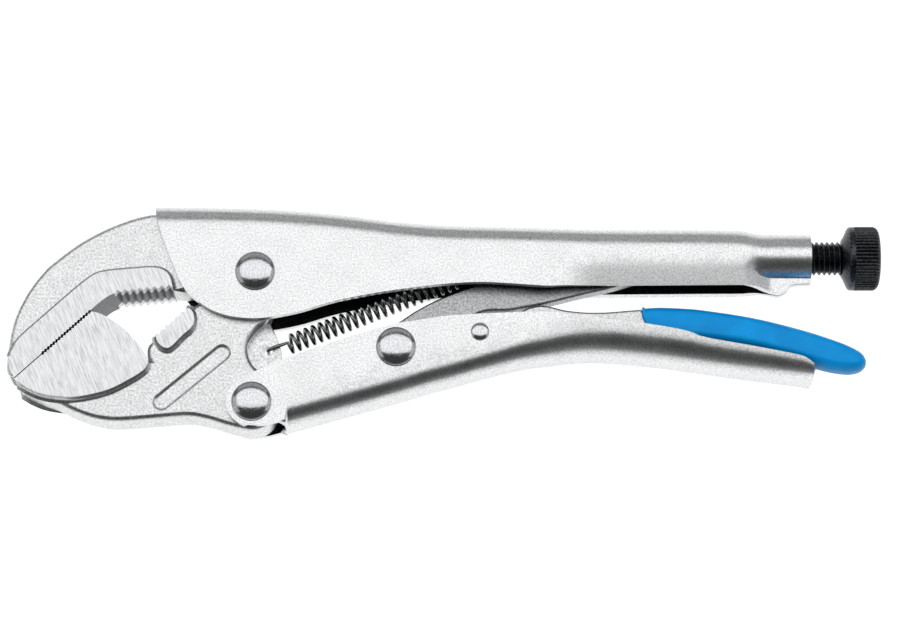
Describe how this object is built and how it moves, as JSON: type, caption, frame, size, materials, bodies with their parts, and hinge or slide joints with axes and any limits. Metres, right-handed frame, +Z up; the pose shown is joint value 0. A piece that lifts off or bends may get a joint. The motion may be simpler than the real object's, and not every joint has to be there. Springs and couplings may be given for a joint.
{
  "type": "locking pliers",
  "caption": "Locking pliers with curved pipe-grip jaws, pressed-steel channel handles, an over-centre toggle link, an adjusting screw and a coated release lever.",
  "frame": {"origin": "centre of the underside of the bounding box, with the tool lying on its side on its rivet heads", "axes": "+X along the tool from the jaws to the knurled knob, +Y from the lower handle to the upper handle, +Z up out of the side that shows"},
  "size_m": [0.251, 0.067, 0.0208],
  "materials": {
    "plated_steel": "satin nickel-chrome plate on pressed steel",
    "forged_steel": "plated forging, grainy, with ground pads",
    "rivet_steel": "polished dome with press marks",
    "spring_steel": "dark drawn wire",
    "black_steel": "black oxide, satin",
    "blue_plastic": "dipped glossy PVC"
  },
  "bodies": {
    "upper_body": {"upper_handle": "plated_steel", "fixed_jaw": "forged_steel", "jaw_rivet": "rivet_steel"},
    "jaw_body": {"moving_jaw": "forged_steel", "tension_spring": "spring_steel"},
    "handle_body": {"lower_handle": "plated_steel", "handle_rivet": "rivet_steel", "toggle_rivet": "rivet_steel", "lever_pin": "rivet_steel"},
    "link_body": {"toggle_link": "forged_steel"},
    "lever_body": {"release_lever": "forged_steel", "lever_coating": "blue_plastic"},
    "screw_body": {"adjusting_screw": "black_steel"},
    "knob_body": {"screw_knob": "black_steel"}
  },
  "joints": [
    {"name": "jaw_hinge", "type": "hinge", "parent": "upper_body", "child": "jaw_body", "pos_m": [-0.05362, 0.01274, 0.0104], "axis": [0, 0, 1], "range_deg": [0, 25], "deforming": ["tension_spring"]},
    {"name": "handle_hinge", "type": "hinge", "parent": "jaw_body", "child": "handle_body", "pos_m": [-0.05405, -0.02566, 0.0104], "axis": [0, 0, 1], "range_deg": [-67.4, 0]},
    {"name": "link_hinge", "type": "hinge", "parent": "handle_body", "child": "link_body", "pos_m": [-0.01328, -0.00966, 0.0104], "axis": [0, 0, 1], "range_deg": [0, 64.2]},
    {"name": "lever_hinge", "type": "hinge", "parent": "handle_body", "child": "lever_body", "pos_m": [0.01058, -0.00521, 0.0104], "axis": [0, 0, 1], "range_deg": [-1, 1.2]},
    {"name": "screw_feed", "type": "slide", "parent": "upper_body", "child": "screw_body", "axis": [1, 0, 0], "range_m": [0, 0.016]},
    {"name": "knob_turn", "type": "hinge", "parent": "screw_body", "child": "knob_body", "pos_m": [0.11838, 0.01884, 0.0104], "axis": [1, 0, 0], "range_deg": [0, 3841]}
  ],
  "couplings": [
    {"joint": "handle_hinge", "follows": "jaw_hinge", "ratio": -2.6912},
    {"joint": "link_hinge", "follows": "jaw_hinge", "ratio": 2.5644},
    {"joint": "knob_turn", "follows": "screw_feed", "rad_per_m": 4188.8}
  ]
}
